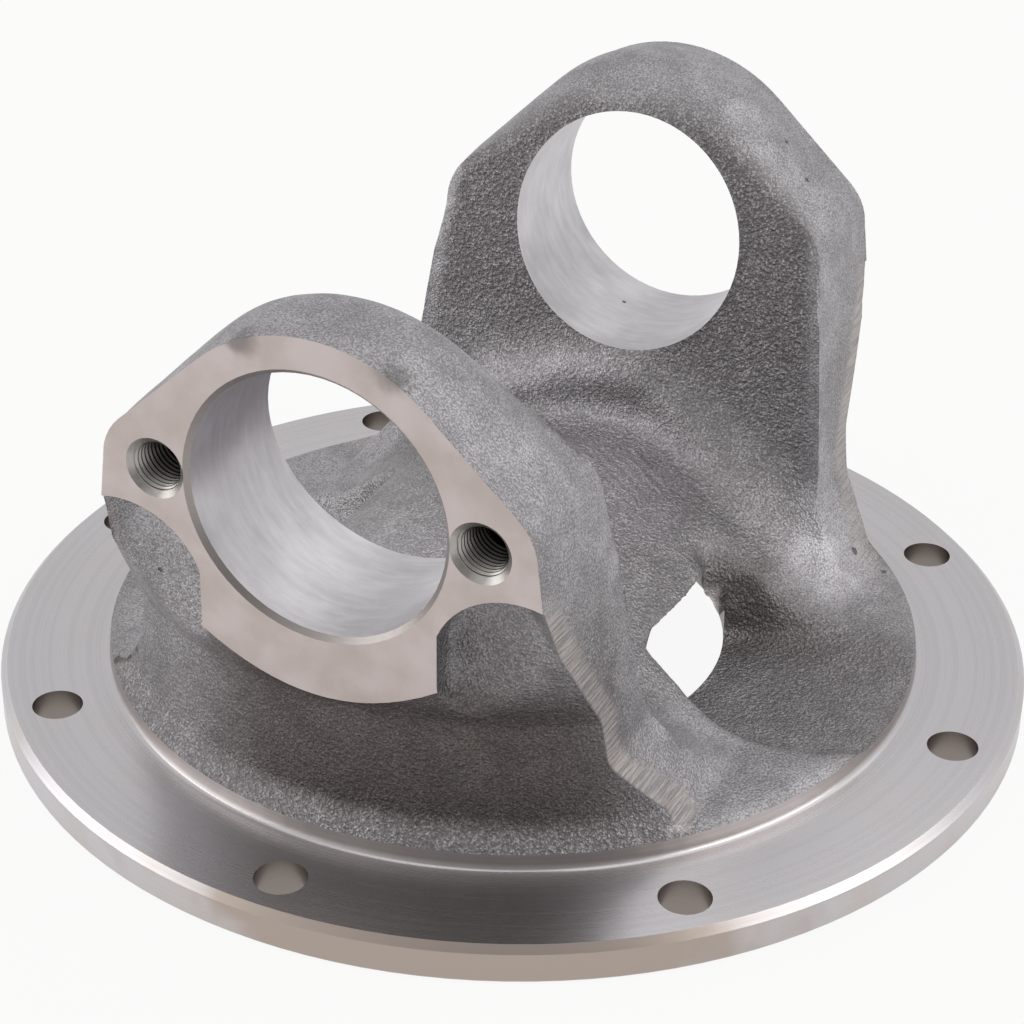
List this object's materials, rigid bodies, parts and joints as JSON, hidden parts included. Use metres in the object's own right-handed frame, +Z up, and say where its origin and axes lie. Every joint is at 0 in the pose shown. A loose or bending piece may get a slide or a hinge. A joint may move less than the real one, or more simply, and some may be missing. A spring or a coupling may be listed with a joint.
{
  "type": "forged flange yoke",
  "caption": "Forged drive shaft flange yoke: two bored ears for a cross bearing on a hollow domed body, over a round bolted flange.",
  "frame": {"origin": "centre of the flange's lower face, which is the mounting face", "axes": "+Z up along the shaft axis, from the flange towards the ears; Y along the cross bore's axis; X across the ears"},
  "size_m": [0.2032, 0.2032, 0.1071],
  "materials": {
    "forged_steel": "shot-blasted forged steel, grey and fine grained, with bare machined pads, bores and flange"
  },
  "bodies": {
    "root": {"forged_yoke": "forged_steel"}
  },
  "joints": []
}
